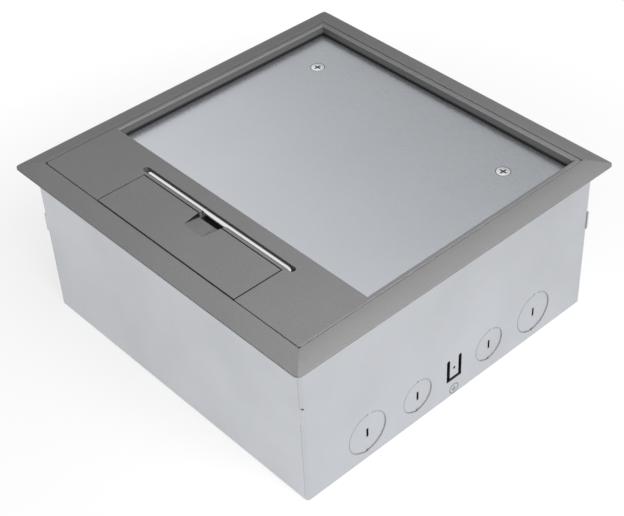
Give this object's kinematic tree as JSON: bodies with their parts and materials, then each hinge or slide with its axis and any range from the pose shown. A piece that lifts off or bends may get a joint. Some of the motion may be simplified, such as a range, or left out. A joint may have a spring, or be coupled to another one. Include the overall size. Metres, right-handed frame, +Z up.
{
  "type": "floor socket box",
  "caption": "Recessed floor box: folded steel box, trim frame, hinged lid with metal plate, cable flap, pull-up handle, twin socket and data outlets.",
  "frame": {"origin": "centre of the underside of the back box", "axes": "+Z up out of the floor, X along the lid hinge, -Y the side with the handle and cable outlet"},
  "size_m": [0.22, 0.22, 0.098],
  "materials": {
    "galvanised": "smooth zinc coated sheet, satin",
    "frame_plastic": "grey moulding with a fine sparked texture",
    "lid_plastic": "grey moulding with a fine sparked texture",
    "lid_metal": "fine brushed along the hinge",
    "lid_screw": "bright zinc",
    "zinc_screw": "bright zinc",
    "pin_steel": "ground steel",
    "stainless": "satin stainless rod",
    "accessory_steel": "powder coated light grey",
    "white_plastic": "semi gloss moulding",
    "housing_plastic": "matt rear moulding",
    "shutter_plastic": "plain moulding",
    "brass": "plain brass"
  },
  "bodies": {
    "box": {"back_box": "galvanised", "corner_brackets": "galvanised", "trim_frame": "frame_plastic", "frame_screws": "zinc_screw", "hinge_pins": "pin_steel", "plate_rails": "galvanised", "partition": "galvanised", "earth_stud": "brass", "earth_nut": "brass", "power_plate": "accessory_steel", "data_plate": "accessory_steel", "plate_screws": "zinc_screw", "socket_front": "white_plastic", "socket_base": "housing_plastic", "socket_contacts": "brass", "terminals": "brass", "jack_modules": "white_plastic"},
    "lid": {"lid_moulding": "lid_plastic", "lid_plate": "lid_metal", "lid_screws": "lid_screw", "lid_nuts": "zinc_screw", "lid_stiffener": "galvanised"},
    "flap": {"outlet_flap": "lid_plastic", "flap_pins": "pin_steel"},
    "handle": {"lift_handle": "stainless", "handle_clips": "pin_steel"},
    "near_shutter": {"shutter_a": "shutter_plastic"},
    "far_shutter": {"shutter_b": "shutter_plastic"},
    "near_rocker": {"rocker_a": "white_plastic"},
    "far_rocker": {"rocker_b": "white_plastic"}
  },
  "joints": [
    {"name": "lid_hinge", "type": "hinge", "parent": "box", "child": "lid", "pos_m": [0, 0.093, 0.0958], "axis": [-1, 0, 0], "range_deg": [0, 130]},
    {"name": "flap_hinge", "type": "hinge", "parent": "lid", "child": "flap", "pos_m": [0, -0.0731, 0.0959], "axis": [-1, 0, 0], "range_deg": [0, 100]},
    {"name": "handle_slide", "type": "slide", "parent": "lid", "child": "handle", "axis": [0, 0, 1], "range_m": [0, 0.022]},
    {"name": "near_shutter_slide", "type": "slide", "parent": "box", "child": "near_shutter", "axis": [1, 0, 0], "range_m": [0, 0.005], "stiffness_N_per_m": 60, "springref_m": -0.004},
    {"name": "far_shutter_slide", "type": "slide", "parent": "box", "child": "far_shutter", "axis": [1, 0, 0], "range_m": [0, 0.005], "stiffness_N_per_m": 60, "springref_m": -0.004},
    {"name": "near_rocker_tilt", "type": "hinge", "parent": "box", "child": "near_rocker", "pos_m": [-0.0595, -0.01, 0.049], "axis": [0, 1, 0], "range_deg": [0, 10]},
    {"name": "far_rocker_tilt", "type": "hinge", "parent": "box", "child": "far_rocker", "pos_m": [-0.0595, 0.01, 0.049], "axis": [0, 1, 0], "range_deg": [0, 10]}
  ]
}
